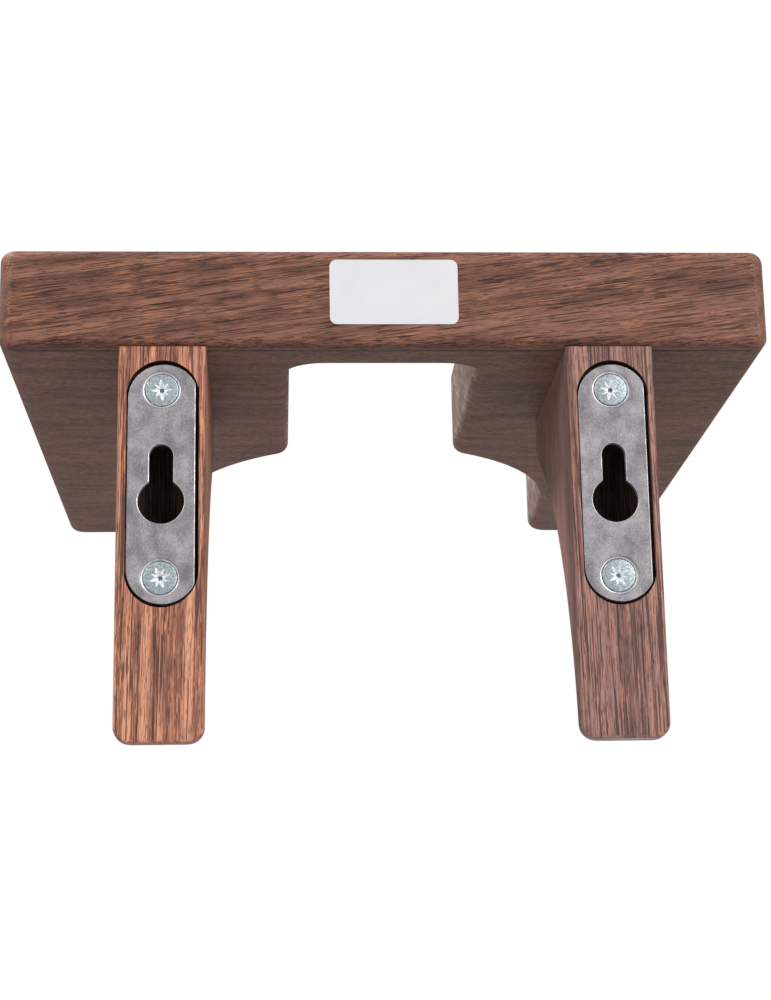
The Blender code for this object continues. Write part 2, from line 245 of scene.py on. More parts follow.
def rounded_block(name, loop, low, high, low_round, high_round, axis, steps=8):
    """A loop carried from low to high, with its lower and upper rims rounded by quarter circles."""
    low_in, low_drop = rounding(low_round, steps)
    high_in, high_drop = rounding(high_round, steps)
    first, last = low_in[0] + low_round / 2, high_in[0] + high_round / 2
    insets = np.concatenate(([first], low_in, high_in[::-1], [last]))
    levels = np.concatenate(([low], low + low_drop, high - high_drop[::-1], [high]))
    return carried(name, loop, insets, levels, axis)


def turned(name, radius, depth, centre, sides):
    """A closed solid of revolution about Y through centre, from pole to pole.

    Point (row, side) lies at radius[row, side] from the axis and depth[row, side] along it, so
    both may vary round the piece. The poles are single points at the first and the last depth.
    """
    angle = np.linspace(0.0, 2 * math.pi, sides, endpoint=False)
    radius = np.broadcast_to(radius, (radius.shape[0], sides))
    depth = np.broadcast_to(depth, radius.shape)
    x = centre[0] + radius * np.cos(angle)
    z = centre[2] + radius * np.sin(angle)
    y = centre[1] + depth
    grid = np.stack((x, y, z), axis=-1).reshape(-1, 3)
    poles = np.array([[centre[0], centre[1] + depth[row].mean(), centre[2]] for row in (0, -1)])
    points = np.vstack((grid, poles))
    rows = radius.shape[0]
    faces = quads(rows, sides).tolist()
    ring = np.arange(sides)
    first = np.column_stack((np.roll(ring, -1), ring, np.full(sides, rows * sides)))
    last_ring = ring + (rows - 1) * sides
    last = np.column_stack((last_ring, np.roll(last_ring, -1), np.full(sides, rows * sides + 1)))
    faces += first.tolist() + last.tolist()
    return piece_from(name, points, faces)


def cut_away(item, cutters):
    """Cuts the helper solids out of a piece for good, and removes them."""
    for cutter in cutters:
        boolean = item.modifiers.new("cut", "BOOLEAN")
        boolean.operation = "DIFFERENCE"
        boolean.solver = "EXACT"
        boolean.object = cutter
    bpy.context.view_layer.update()
    graph = bpy.context.evaluated_depsgraph_get()
    mesh = bpy.data.meshes.new_from_object(item.evaluated_get(graph), depsgraph=graph)
    item.modifiers.clear()
    item.data = mesh
    for cutter in cutters:
        bpy.data.objects.remove(cutter, do_unlink=True)
    shade(item)


def capsule(centre_x, low, high, radius):
    """A round-ended upright strip as a loop, from its lowest to its highest point."""
    upper = arc((centre_x, high - radius), radius, 0.0, 180.0, 40)
    lower = arc((centre_x, low + radius), radius, 180.0, 360.0, 40)
    return np.vstack((upper, lower))


# ---------------------------------------------------------------- wood pieces

def shelf_loop(low, high):
    """The forked board from above, counterclockwise: one half from the slot by the mouth, the front
    and the side to the rear edge, and then its mirror image.

    The mouth has straight sides in front of half an ellipse. The corner between the ellipse and
    the slot is rounded by a circle whose centre is a radius away from both.
    """
    half = high.x
    half_slot = SLOT_WIDTH / 2
    half_mouth = MOUTH_WIDTH / 2
    widest = low.y + MOUTH_STRAIGHT
    turn = np.linspace(0.0, math.pi / 2, 2000)
    ellipse = np.column_stack((half_mouth * np.cos(turn), widest + MOUTH_DEPTH * np.sin(turn)))
    away = np.column_stack((np.cos(turn) / half_mouth, np.sin(turn) / MOUTH_DEPTH))
    away /= np.linalg.norm(away, axis=1, keepdims=True)
    grown = ellipse + away * MOUTH_THROAT
    centre_x = half_slot + MOUTH_THROAT
    meets = int(np.argmin(np.abs(grown[:, 0] - centre_x)))
    throat = (centre_x, grown[meets, 1])
    contact = math.degrees(math.atan2(-away[meets, 1], -away[meets, 0])) % 360.0
    steps = 14
    half_loop = np.vstack((
        arc((half_slot - SLOT_CORNER, high.y - SLOT_SETBACK - SLOT_CORNER), SLOT_CORNER, 90.0, 0.0, steps),
        arc(throat, MOUTH_THROAT, 180.0, contact, steps),
        ellipse[:meets][::-40],
        arc((half_mouth + MOUTH_TIP, low.y + MOUTH_TIP), MOUTH_TIP, 180.0, 270.0, steps),
        arc((half - FRONT_CORNER, low.y + FRONT_CORNER), FRONT_CORNER, 270.0, 360.0, steps),
        arc((half - REAR_CORNER, high.y - REAR_CORNER), REAR_CORNER, 0.0, 90.0, steps),
    ))
    mirrored = half_loop[::-1] * np.array((-1.0, 1.0))
    return np.vstack((half_loop, mirrored))


def dowel_hole(box, side_up):
    """A helper solid for a dowel's blind hole, from its box: a circle carried upright."""
    low, high = box
    centre = (low + high) / 2
    loop = arc(centre.xy, DOWEL_RADIUS + DOWEL_CLEARANCE, 0.0, 360.0, 48)[:-1]
    bottom = low.z - DOWEL_CLEARANCE if not side_up else centre.z - BEYOND
    top = high.z + DOWEL_CLEARANCE if side_up else centre.z + BEYOND
    return carried("hole", loop, (0.0, 0.0), (bottom, top), "Z")


def make_shelf(material, dowel_boxes):
    """The forked shelf: its outline carried from underside to top with rounded rims."""
    low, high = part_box("forked_shelf")
    loop = even_loop(shelf_loop(low, high), SHELF_STEP)
    shelf = rounded_block("forked_shelf_board", loop, low.z, high.z, SHELF_ROUND, SHELF_ROUND, "Z")
    cut_away(shelf, [dowel_hole(box, True) for box in dowel_boxes])
    return dress(shelf, material, "forked_shelf")


def gusset_profile(low, high):
    """An upright's front from foot to top as (y, z) points: an arc, a rounded nose and a straight rise.

    The arc runs through the foot's front and the nose's lower corner, hollow towards the room. The
    nose is rounded by the curve (1-t)^2 a + 2 t (1-t) b + t^2 c from a to c, with b at its corner.
    """
    nose = np.array((low.y, high.z - NOSE_HEIGHT))
    foot = np.array((high.y - FOOT_DEPTH, low.z))
    chord = foot - nose
    length = np.linalg.norm(chord)
    outward = np.array((chord[1], -chord[0])) / length
    centre = (nose + foot) / 2 + outward * math.sqrt(CURVE_RADIUS**2 - (length / 2) ** 2)
    start = math.degrees(math.atan2(*(foot - centre)[::-1]))
    end = math.degrees(math.atan2(*(nose - centre)[::-1]))
    curve = arc(centre, CURVE_RADIUS, start, end, 150)
    kept = curve[np.linalg.norm(curve - nose, axis=1) > NOSE_ROUND]
    share = np.linspace(0.0, 1.0, 9)[1:, None]
    above = nose + np.array((0.0, NOSE_ROUND))
    blend = (1 - share) ** 2 * kept[-1] + 2 * share * (1 - share) * nose + share**2 * above
    top = np.array(((low.y, high.z),))
    return np.vstack((kept, blend, top))


def make_upright(hand, material, painted_shade, dowel_boxes):
    """One gusset upright as a stack of level slices, each a rounded rectangle.

    At height z above the foot the slice is as deep as the gusset's profile there. Below the foot
    corner radius R its half width is w - R + sqrt(R^2 - (R - z)^2), and within the edge radius r
    of the foot its front and rear draw in by r - sqrt(r^2 - (r - z)^2).
    """
    low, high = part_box(f"{hand}_upright")
    centre = (low.x + high.x) / 2
    half = (high.x - low.x) / 2
    profile = gusset_profile(low, high)
    rise = FOOT_CORNER * (1 - np.cos(np.linspace(0.0, math.pi / 2, 20)))
    height = np.unique(np.concatenate((low.z + rise, profile[:, 1][profile[:, 1] > low.z + rise[-1]])))
    front = np.interp(height, profile[:, 1], profile[:, 0])
    over_foot = np.clip(height - low.z, 0.0, FOOT_CORNER)
    width = half - FOOT_CORNER + np.sqrt(FOOT_CORNER**2 - (FOOT_CORNER - over_foot) ** 2)
    over_edge = np.clip(height - low.z, 0.0, UPRIGHT_ROUND)
    draw = UPRIGHT_ROUND - np.sqrt(UPRIGHT_ROUND**2 - (UPRIGHT_ROUND - over_edge) ** 2)
    quarter = np.radians(np.linspace(0.0, 90.0, 6))
    round_x = np.concatenate(([UPRIGHT_ROUND], UPRIGHT_ROUND * np.cos(quarter), [-FLAT_MARGIN]))
    round_y = np.concatenate(([-FLAT_MARGIN], UPRIGHT_ROUND * np.sin(quarter), [UPRIGHT_ROUND]))
    corner_x, corner_y, sign_x, sign_y = [], [], [], []
    for index in range(4):
        turn_back = index % 2 == 1
        pick = slice(None, None, -1) if turn_back else slice(None)
        corner_x.append(round_x[pick])
        corner_y.append(round_y[pick])
        sign_x.append(np.full(round_x.size, 1.0 if index in (0, 3) else -1.0))
        sign_y.append(np.full(round_x.size, 1.0 if index in (0, 1) else -1.0))
    corner_x, corner_y = np.concatenate(corner_x), np.concatenate(corner_y)
    sign_x, sign_y = np.concatenate(sign_x), np.concatenate(sign_y)
    x = centre + sign_x * (width[:, None] - UPRIGHT_ROUND + corner_x)
    rear = high.y - draw
    middle = (rear + front + draw) / 2
    depth = (rear - front - draw) / 2
    y = middle[:, None] + sign_y * (depth[:, None] - UPRIGHT_ROUND + corner_y)
    z = np.broadcast_to(height[:, None], x.shape)
    points = np.stack((x, y, z), axis=-1)
    rows, columns = x.shape
    ring = np.arange(columns)
    faces = quads(rows, columns).tolist()
    faces += [ring[::-1].tolist(), (ring + (rows - 1) * columns).tolist()]
    upright = piece_from(f"{hand}_gusset_upright", points.reshape(-1, 3), faces)
    cutters = [dowel_hole(box, False) for box in dowel_boxes]
    cutters += plate_pockets(hand)
    cut_away(upright, cutters)
    dress(upright, material, f"{hand}_upright")
    # Second material: painted shade in the recess and the keyhole pocket.
    upright.data.materials.append(painted_shade)
    paint_recess_shade(upright, centre)


def face_facts(item):
    """The normal and the centre of each face of a piece, as two arrays."""
    count = len(item.data.polygons)
    normal = np.empty(count * 3)
    centre = np.empty(count * 3)
    item.data.polygons.foreach_get("normal", normal)
    item.data.polygons.foreach_get("center", centre)
    return normal.reshape(-1, 3), centre.reshape(-1, 3)


def use_second_finish(item, chosen):
    """Gives the chosen faces the piece's second material."""
    item.data.polygons.foreach_set("material_index", chosen.astype(np.int32))
    item.data.update()


def paint_recess_shade(upright, centre_x):
    """Paints shade on an upright's recess and keyhole pocket: the faces within their walls."""
    normal, centre = face_facts(upright)
    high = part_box("forked_shelf")[1]
    plate_low, plate_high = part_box("right_hanger_plate")
    reach = (plate_high.x - plate_low.x) / 2 + RECESS_CLEARANCE - RECESS_SHIFT + TOUCH
    inside = (np.abs(centre[:, 0] - centre_x) < reach) & (normal[:, 1] > BACKWARD_SLOPE)
    inside &= (centre[:, 1] < high.y - TOUCH) & (centre[:, 1] > -SCREW_LENGTH - BEYOND)
    inside &= (centre[:, 2] < plate_high.z + RECESS_END + TOUCH)
    inside &= (centre[:, 2] > plate_low.z - RECESS_END - TOUCH)
    use_second_finish(upright, inside)


def plate_pockets(hand):
    """Helper solids for a plate's recess, the deeper pocket behind its keyhole and its pilot holes."""
    low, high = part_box(f"{hand}_hanger_plate")
    centre = (low.x + high.x) / 2
    radius = (high.x - low.x) / 2 + RECESS_CLEARANCE
    outline = capsule(centre + RECESS_SHIFT, low.z - RECESS_END, high.z + RECESS_END, radius)
    recess = carried("recess", outline, (0.0, 0.0), (low.y - RECESS_FLOOR, BEYOND), "Y")
    reach = KEYHOLE_RADIUS + POCKET_CLEARANCE
    outline = capsule(centre, -KEYHOLE_DROP - reach, KEYHOLE_SLOT + POCKET_CLEARANCE, reach)
    pocket = carried("pocket", outline, (0.0, 0.0), (-POCKET_DEPTH, BEYOND), "Y")
    return [recess, pocket] + [pilot_hole(f"{hand}_{place}_plate_screw") for place in ("upper", "lower")]


def pilot_hole(node):
    """A helper solid for a screw: its cone and shank grown by the clearance, with a pointed end."""
    low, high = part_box(node)
    centre = ((low.x + high.x) / 2, high.y, (low.z + high.z) / 2)
    head = HEAD_RADIUS + HEAD_CLEARANCE
    shank = SHANK_RADIUS + HEAD_CLEARANCE
    radius = np.array((head, head, shank, shank, shank / 8))
    depth = np.array((BEYOND, 0.0, shank - head, SCREW_TIP - SCREW_LENGTH, -SCREW_LENGTH - HEAD_CLEARANCE))
    return turned("pilot", radius[:, None], depth[:, None], centre, 48)


# ---------------------------------------------------------------- metal pieces

def plate_loop(low, high):
    """A plate's outline: arcs a little wider than the plate, each leaving a small corner on its -X side.

    Both arcs have their centre line shifted towards -X so that they run smoothly into the +X side.
    """
    shift = high.x - PLATE_ARC
    reach = shift - low.x
    corner = math.degrees(math.acos(reach / PLATE_ARC))
    upper = arc((shift, high.z - PLATE_ARC), PLATE_ARC, 0.0, 180.0 - corner, 60)
    lower = arc((shift, low.z + PLATE_ARC), PLATE_ARC, 180.0 + corner, 360.0, 60)
    return np.vstack((upper, lower))


def keyhole_loop(centre):
    """The keyhole: a circle with a round-topped slot rising from it."""
    shoulder = math.degrees(math.asin(KEYHOLE_SLOT / KEYHOLE_RADIUS))
    circle = arc((centre, -KEYHOLE_DROP), KEYHOLE_RADIUS, 90.0 + shoulder, 450.0 - shoulder, 72)
    return np.vstack((circle, arc((centre, 0.0), KEYHOLE_SLOT, 0.0, 180.0, 32)))


def make_plate(hand, steel, rim_highlight_steel):
    """One hanger plate: its outline with burnished rims, painted brighter as a highlight, cut by the
    keyhole and two dished screw holes.
    """
    low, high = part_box(f"{hand}_hanger_plate")
    loop = even_loop(plate_loop(low, high), PLATE_STEP)
    plate = rounded_block(f"{hand}_keyhole_plate", loop, low.y, high.y, BACK_ROUND, RIM_ROUND, "Y", 5)
    centre = (low.x + high.x) / 2
    cutters = [keyhole_cutter(centre, low.y, high.y)]
    for place in ("upper", "lower"):
        cutters.append(dish_cutter(f"{hand}_{place}_plate_screw", high.y))
    cut_away(plate, cutters)
    plate.data.materials.clear()
    plate.data.materials.append(steel)
    # Second material: a painted highlight on the burnished rims and lips.
    plate.data.materials.append(rim_highlight_steel)
    paint_rim_highlights(plate, high.y, hand)
    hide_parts(f"{hand}_hanger_plate")
    return settle(plate)


def paint_rim_highlights(plate, face, hand):
    """Gives the brighter finish, a painted highlight, to the plate's burnished rounded rims and to the lip
    round each screw head.

    The rims are found by their depth and slope, and the lips by their distance from the screw.
    """
    normal, centre = face_facts(plate)
    slope = normal[:, 1]
    bright = (slope < RIM_FACES[1]) & (slope > RIM_FACES[0]) & (face - centre[:, 1] < RIM_ROUND)
    for place in ("upper", "lower"):
        low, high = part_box(f"{hand}_{place}_plate_screw")
        away = np.hypot(centre[:, 0] - (low.x + high.x) / 2, centre[:, 2] - (low.z + high.z) / 2)
        head = HEAD_RADIUS + HEAD_CLEARANCE
        bright &= away > DISH_RADIUS + NARROW
        bright |= (np.abs(away - head) < LIP_WIDTH) & (slope > LIP_FACES)
    use_second_finish(plate, bright)


def keyhole_cutter(centre, low, high):
    """The keyhole's helper solid, flared at the outer face by a quarter circle."""
    loop = even_loop(keyhole_loop(centre), KEYHOLE_STEP)
    angle = np.linspace(0.0, math.pi / 2, 6)
    widen = RIM_ROUND * (1 - np.cos(angle))
    climb = RIM_ROUND * np.sin(angle)
    insets = np.concatenate(([0.0], -widen, [-RIM_ROUND]))
    levels = np.concatenate(([low - BEYOND], high - RIM_ROUND + climb, [high + BEYOND]))
    return carried("keyhole", loop, insets, levels, "Y")


def dish_cutter(node, face):
    """A screw hole's helper solid: a shallow dish that runs smoothly down to the countersink.

    Across the dish the depth is D (1 - cos(pi s)) / 2, with s from 0 at its outer edge to 1.
    """
    low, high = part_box(node)
    centre = ((low.x + high.x) / 2, face, (low.z + high.z) / 2)
    head = HEAD_RADIUS + HEAD_CLEARANCE
    shank = SHANK_RADIUS + HEAD_CLEARANCE
    share = np.linspace(0.0, 1.0, 12)
    dish_radius = DISH_RADIUS - (DISH_RADIUS - head) * share
    dish_depth = -DISH_DEPTH * (1 - np.cos(math.pi * share)) / 2
    radius = np.concatenate(([DISH_RADIUS], dish_radius, [head - SEAT_STEP, shank, shank]))
    cone = DISH_DEPTH + SEAT_STEP
    depth = np.concatenate(([BEYOND], dish_depth, [-cone, -cone - (head - shank), -BEYOND]))
    return turned("dish", radius[:, None], depth[:, None], centre, 96)


def drive_recess(radius, angle):
    """Depth of the driver recess under the head at each point: an eight-rayed star round a small well.

    Each ray narrows in a straight line from the middle to its tip. The four rays at right angles
    are the driver's arms; the four between them are shorter, narrower and shallower.
    """
    depth = np.zeros(np.broadcast(radius, angle).shape)
    for first, reach, half_width, deep in STAR_RAYS:
        off = np.radians((np.degrees(angle) - first + 45.0) % 90.0 - 45.0)
        along, across = radius * np.cos(off), np.abs(radius * np.sin(off))
        inside = half_width * (1 - along / reach) - across
        floor = np.clip(1.05 - along / reach, 0.0, 1.0)
        depth = np.maximum(depth, deep * floor * np.clip(inside / half_width * 2.0, 0.0, 1.0))
    well = soft_step(WELL_RADIUS - radius, WELL_EDGE) * WELL_DEPTH
    return np.maximum(depth, well)


def soft_step(inside, width):
    """0 to 1 as a distance goes from -width/2 to width/2, by 3 t^2 - 2 t^3."""
    share = np.clip(inside / width + 0.5, 0.0, 1.0)
    return share * share * (3 - 2 * share)


def make_screw(name, turn, material, punched_highlight):
    """One countersunk screw: head with its recess, cone, and a shank with a helical thread.

    On the shank the radius is core + (crest - core) max(0, 1 - 3 |f|), where f is the distance to the
    nearest turn of the helix in pitches. It fades into the cone above and the point below.
    """
    low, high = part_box(name)
    centre = ((low.x + high.x) / 2, high.y, (low.z + high.z) / 2)
    sides = 128
    angle = np.linspace(0.0, 2 * math.pi, sides, endpoint=False)[None]
    flat = np.linspace(NARROW, HEAD_RADIUS - HEAD_EDGE, 64)[:, None]
    head_depth = -crown_drop(flat) - drive_recess(flat, angle + turn)
    rim_angle = np.linspace(0.0, math.pi / 2, 6)[1:, None]
    rim = HEAD_RADIUS - HEAD_EDGE + HEAD_EDGE * np.sin(rim_angle)
    rim_depth = -EDGE_DROP - HEAD_EDGE * (1 - np.cos(rim_angle))
    cone = np.linspace(HEAD_RADIUS - NARROW, CORE_RADIUS + TOUCH, 10)[:, None]
    cone_depth = -CONE_DROP - (HEAD_RADIUS - cone) * CONE_SLOPE
    cone_end = cone_depth[-1, 0]
    along = np.linspace(cone_end - TOUCH, -SCREW_LENGTH + NARROW, 190)[:, None]
    turns = along / THREAD_PITCH + angle / (2 * math.pi)
    ridge = np.clip(1 - 3 * np.abs(turns - np.round(turns)), 0.0, 1.0)
    start = soft_step(cone_end - THREAD_START - along, THREAD_FADE)
    point = np.clip((along + SCREW_LENGTH) / SCREW_TIP, 0.02, 1.0)
    shank = point * (CORE_RADIUS + (SHANK_RADIUS - CORE_RADIUS) * ridge * start)
    radius = full_rows((flat, rim, cone, shank), sides)
    depth = full_rows((head_depth, rim_depth, cone_depth, along), sides)
    screw = turned(f"{name}_threaded", radius, depth, centre, sides)
    dress(screw, material, name)
    # Second material: a painted highlight on the recess flanks.
    screw.data.materials.append(punched_highlight)
    paint_recess_highlight(screw, centre)


def crown_drop(radius):
    """How far a screw head's low dome has fallen at a radius: it falls with the radius squared."""
    return HEAD_CROWN * (radius / HEAD_RADIUS) ** 2


def full_rows(parts, sides):
    """Stacks parts whose rows hold either one value or one for each side."""
    return np.vstack([np.broadcast_to(part, (part.shape[0], sides)) for part in parts])


def paint_recess_highlight(screw, centre):
    """Paints a highlight on the flanks of a screw's driver recess: the faces sunk under the dome."""
    place = face_facts(screw)[1] - np.array(centre)
    away = np.hypot(place[:, 0], place[:, 2])
    sunk = (place[:, 1] < -crown_drop(away) - NARROW) & (place[:, 1] > -WELL_DEPTH * FLANK_SHARE)
    use_second_finish(screw, sunk & (away > WELL_RADIUS) & (away < HEAD_RADIUS - FLANK_MARGIN))


def make_dowel(name, material):
    """One fluted dowel, upright, with chamfered ends.

    At angle a its radius is R - F ((1 + cos n a) / 2)^3 for n flutes of depth F.
    """
    low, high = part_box(name)
    centre = (low + high) / 2
    count = FLUTES * 8
    angle = np.linspace(0.0, 2 * math.pi, count, endpoint=False)
    radius = DOWEL_RADIUS - FLUTE_DEPTH * ((1 + np.cos(FLUTES * angle)) / 2) ** 3
    loop = np.array(centre.xy) + radius[:, None] * np.column_stack((np.cos(angle), np.sin(angle)))
    insets = (DOWEL_CHAMFER * 1.4, DOWEL_CHAMFER, DOWEL_CHAMFER / 2, 0.0, 0.0, DOWEL_CHAMFER / 2,
              DOWEL_CHAMFER, DOWEL_CHAMFER * 1.4)
    rise = (0.0, 0.0, DOWEL_CHAMFER * 0.35, DOWEL_CHAMFER)
    levels = [low.z + step for step in rise] + [high.z - step for step in rise[::-1]]
    dowel = carried(f"{name}_fluted", loop, insets, levels, "Z")
    return dress(dowel, material, name)


def make_label(material):
    """The blank label: a thin sheet with round corners, lying on the shelf's rear edge."""
    low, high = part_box("rear_label")
    r = LABEL_CORNER
    loop = np.vstack((
        arc((high.x - r, high.z - r), r, 0.0, 90.0, 12),
        arc((low.x + r, high.z - r), r, 90.0, 180.0, 12),
        arc((low.x + r, low.z + r), r, 180.0, 270.0, 12),
        arc((high.x - r, low.z + r), r, 270.0, 360.0, 12),
    ))
    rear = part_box("forked_shelf")[1].y + LABEL_STANDOFF
    front = rear + LABEL_THICKNESS
    loop = even_loop(loop, LABEL_STEP)
    label = rounded_block("blank_label", loop, rear, front, LABEL_BACK_ROUND, LABEL_FACE_ROUND, "Y", 3)
    return dress(label, material, "rear_label")


def dress(item, material, node):
    """Gives a piece its material, and lets it stand for its CAD node."""
    item.data.materials.clear()
    item.data.materials.append(material)
    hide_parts(node)
    return settle(item)


def settle(item):
    """Fixes a piece to the bracket."""
    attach(item, "root")
    return item


# ---------------------------------------------------------------- materials

# Wood tones: dark, middle, light, warm, pore and the greyer tone of the painted sheen on the broad faces.
SHELF_TONES = (
    (0.115, 0.050, 0.036),
    (0.200, 0.086, 0.060),
    (0.290, 0.135, 0.096),
    (0.460, 0.185, 0.100),
    (0.028, 0.014, 0.012),
    (0.160, 0.095, 0.082),
)
RIGHT_TONES = (
    (0.200, 0.082, 0.060),
    (0.500, 0.200, 0.128),
    (0.760, 0.360, 0.225),
    (0.800, 0.320, 0.170),
    (0.070, 0.032, 0.024),
    (0.260, 0.145, 0.115),
)
LEFT_TONES = (
    (0.170, 0.088, 0.077),
    (0.300, 0.152, 0.128),
    (0.430, 0.235, 0.195),
    (0.520, 0.235, 0.160),
    (0.065, 0.036, 0.031),
    (0.260, 0.170, 0.152),
)

# How far from the middle the end grain is still rough from the saw, and where it is sanded smooth.
SAWN_WITHIN = 60.0 * MM
SANDED_BEYOND = 80.0 * MM


class Finish:
    """A node material under construction: each method adds one node and gives back its output."""

    def __init__(self, name):
        self.material = bpy.data.materials.new(name)
        self.material.use_nodes = True
        self.tree = self.material.node_tree
        self.shader = self.tree.nodes["Principled BSDF"]
        self.coordinates = self.tree.nodes.new("ShaderNodeTexCoord").outputs["Object"]

    def put(self, socket, value):
        """Sets a socket, or links it when the value is another node's output."""
        if isinstance(value, bpy.types.NodeSocket):
            self.tree.links.new(value, socket)
        else:
            socket.default_value = value

    def stretched(self, sizes, turn=(0.0, 0.0, 0.0), shift=(0.0, 0.0, 0.0), vector=None):
        """Coordinates on which a pattern's unit is as long as the given sizes, in millimetres."""
        turned_node = self.tree.nodes.new("ShaderNodeMapping")
        turned_node.inputs["Rotation"].default_value = [math.radians(angle) for angle in turn]
        turned_node.inputs["Location"].default_value = shift
        self.put(turned_node.inputs["Vector"], vector or self.coordinates)
        scaled = self.tree.nodes.new("ShaderNodeMapping")
        scaled.inputs["Scale"].default_value = [1 / (size * MM) for size in sizes]
        self.put(scaled.inputs["Vector"], turned_node.outputs[0])
        return scaled.outputs[0]

    def noise(self, vector, detail=2.0, roughness=0.5, distortion=0.0):
        """Smooth noise between 0 and 1."""
        node = self.tree.nodes.new("ShaderNodeTexNoise")
        node.inputs["Scale"].default_value = 1.0
        node.inputs["Detail"].default_value = detail
        node.inputs["Roughness"].default_value = roughness
        node.inputs["Distortion"].default_value = distortion
        self.put(node.inputs["Vector"], vector)
        return node.outputs["Fac"]

    def between(self, value, low, high, out_low=0.0, out_high=1.0):
        """The value's place between low and high, as a smooth step."""
        node = self.tree.nodes.new("ShaderNodeMapRange")
        node.interpolation_type = "SMOOTHSTEP"
        self.put(node.inputs["Value"], value)
        node.inputs["From Min"].default_value = low
        node.inputs["From Max"].default_value = high
        node.inputs["To Min"].default_value = out_low
        node.inputs["To Max"].default_value = out_high
        return node.outputs["Result"]

    def maths(self, operation, first, second=0.0):
        """One sum on two values."""
        node = self.tree.nodes.new("ShaderNodeMath")
        node.operation = operation
        self.put(node.inputs[0], first)
        self.put(node.inputs[1], second)
        return node.outputs[0]

    def tones(self, value, stops):
        """A colour for each value, from (place, colour) pairs."""
        node = self.tree.nodes.new("ShaderNodeValToRGB")
        places = node.color_ramp.elements
        while len(places) < len(stops):
            places.new(0.5)
        for element, (place, colour) in zip(places, stops):
            element.position = place
            element.color = (*colour, 1.0)
        self.put(node.inputs["Fac"], value)
        return node.outputs["Color"]

    def mixed(self, share, first, second):
        """Two colours mixed by a share."""
        node = self.tree.nodes.new("ShaderNodeMix")
        node.data_type = "RGBA"
        colours = [socket for socket in node.inputs if socket.type == "RGBA"]
        self.put(node.inputs["Factor"], share)
        self.put(colours[0], first if isinstance(first, bpy.types.NodeSocket) else (*first, 1.0))
        self.put(colours[1], second if isinstance(second, bpy.types.NodeSocket) else (*second, 1.0))
        return next(socket for socket in node.outputs if socket.type == "RGBA")

    def facing(self, axis):
        """How squarely the surface faces along X, Y or Z, from 0 to 1."""
        geometry = self.tree.nodes.new("ShaderNodeNewGeometry")
        split = self.tree.nodes.new("ShaderNodeSeparateXYZ")
        self.put(split.inputs[0], geometry.outputs["Normal"])
        return self.maths("ABSOLUTE", split.outputs[axis])

    def bump(self, height, distance, strength=1.0):
        """Relief from a height between 0 and 1, over a distance in millimetres."""
        node = self.tree.nodes.new("ShaderNodeBump")
        node.inputs["Strength"].default_value = strength
        node.inputs["Distance"].default_value = distance * MM
        self.put(node.inputs["Height"], height)
        self.put(self.shader.inputs["Normal"], node.outputs["Normal"])

    def set(self, **values):
        """Sets the shader's sockets by name, with _ for a space."""
        for name, value in values.items():
            self.put(self.shader.inputs[name.replace("_", " ")], value)


def lengthwise(grain, long, fine):
    """Pattern sizes that are long along the grain and fine across it."""
    return tuple(long if axis == grain else fine for axis in "XYZ")


